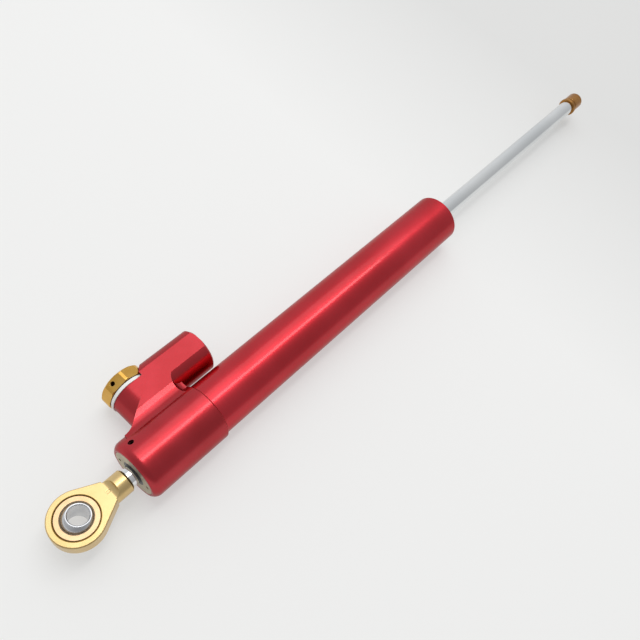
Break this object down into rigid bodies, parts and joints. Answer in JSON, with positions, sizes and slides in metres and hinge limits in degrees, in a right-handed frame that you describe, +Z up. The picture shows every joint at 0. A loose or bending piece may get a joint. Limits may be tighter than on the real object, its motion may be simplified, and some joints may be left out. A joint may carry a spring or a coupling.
{
  "type": "motorcycle steering damper",
  "caption": "Slim through-rod steering damper with a ball-jointed eye, a collar block with a side reservoir and a click adjuster knob, and a long bare rod end with a cap nut.",
  "frame": {"origin": "centre of the ball in the rod end eye", "axes": "+X along the rod towards the tube and the far rod end; +Z up as the damper lies on its collar, its knob and its tube; +Y towards the reservoir and the knob"},
  "size_m": [0.381, 0.0473, 0.026],
  "materials": {
    "red_anodised": "red anodised aluminium, satin",
    "gold_anodised": "gold anodised aluminium, fine turned",
    "brass_gold": "dark gold anodised aluminium",
    "olive_anodised": "hard anodised aluminium, olive",
    "plain_aluminium": "turned aluminium, bare",
    "chromed_rod": "hard chromed and ground steel",
    "bearing_steel": "ground stainless bearing steel",
    "spring_steel": "spring steel, oiled",
    "black_screw": "blackened screw steel",
    "bronze": "sintered bronze",
    "nitrile": "black nitrile rubber",
    "slip_plastic": "filled PTFE, brown grey",
    "white_nylon": "white nylon, turned"
  },
  "bodies": {
    "damper_body": {"housing": "red_anodised", "damper_tube": "red_anodised", "inner_tube": "plain_aluminium", "tube_o_ring": "nitrile", "near_gland": "olive_anodised", "near_gland_o_rings": "nitrile", "near_guide_bush": "bronze", "near_rod_seal": "nitrile", "near_wiper": "nitrile", "gland_lock_screw": "black_screw", "far_gland": "olive_anodised", "far_gland_o_ring": "nitrile", "far_guide_bush": "bronze", "far_rod_seal": "nitrile", "far_wiper": "nitrile", "far_circlip": "spring_steel", "near_bump_ring": "nitrile", "far_bump_ring": "nitrile", "valve_seat": "bronze", "adjuster_bush": "plain_aluminium", "adjuster_bush_o_ring": "nitrile", "detent_ring": "white_nylon", "reservoir_spring": "spring_steel", "reservoir_plug": "olive_anodised", "reservoir_plug_o_ring": "nitrile", "reservoir_circlip": "spring_steel"},
    "piston_seals": {"piston_band": "slip_plastic", "piston_expander": "nitrile"},
    "rod_assembly": {"rod": "chromed_rod", "rod_end_cap": "brass_gold", "piston": "plain_aluminium", "piston_circlips": "spring_steel", "rod_end_eye": "gold_anodised", "bearing_race": "bearing_steel", "bearing_liner": "slip_plastic"},
    "ball": {"bearing_ball": "bearing_steel"},
    "adjuster": {"adjuster_knob": "gold_anodised", "knob_grub_screw": "black_screw", "adjuster_spindle": "plain_aluminium", "spindle_o_ring": "nitrile", "detent_balls": "bearing_steel", "detent_springs": "spring_steel"},
    "needle": {"adjuster_needle": "bearing_steel"},
    "floating_piston": {"reservoir_piston": "plain_aluminium", "reservoir_piston_o_ring": "nitrile"}
  },
  "joints": [
    {"name": "rod_slide", "type": "slide", "parent": "damper_body", "child": "piston_seals", "axis": [-1, 0, 0], "range_m": [0, 0.12]},
    {"name": "rod_turn", "type": "hinge", "parent": "piston_seals", "child": "rod_assembly", "pos_m": [0, 0, 0], "axis": [1, 0, 0], "continuous": true},
    {"name": "ball_tilt", "type": "hinge", "parent": "rod_assembly", "child": "ball", "pos_m": [0, 0, 0], "axis": [0, 0.9957, -0.0922], "range_deg": [-27, 3]},
    {"name": "adjuster_turn", "type": "hinge", "parent": "damper_body", "child": "adjuster", "pos_m": [0.0466, 0, 0], "axis": [0, -0.9957, 0.0922], "range_deg": [0, 330]},
    {"name": "needle_slide", "type": "slide", "parent": "damper_body", "child": "needle", "axis": [0, -0.9957, 0.0922], "range_m": [0, 0.000917]},
    {"name": "floating_piston_slide", "type": "slide", "parent": "damper_body", "child": "floating_piston", "axis": [1, 0, 0], "range_m": [0, 0.0025], "stiffness_N_per_m": 400, "springref_m": -0.006, "deforming": ["reservoir_spring"]}
  ],
  "couplings": [
    {"joint": "needle_slide", "follows": "adjuster_turn", "m_per_rad": 0.00015915}
  ]
}
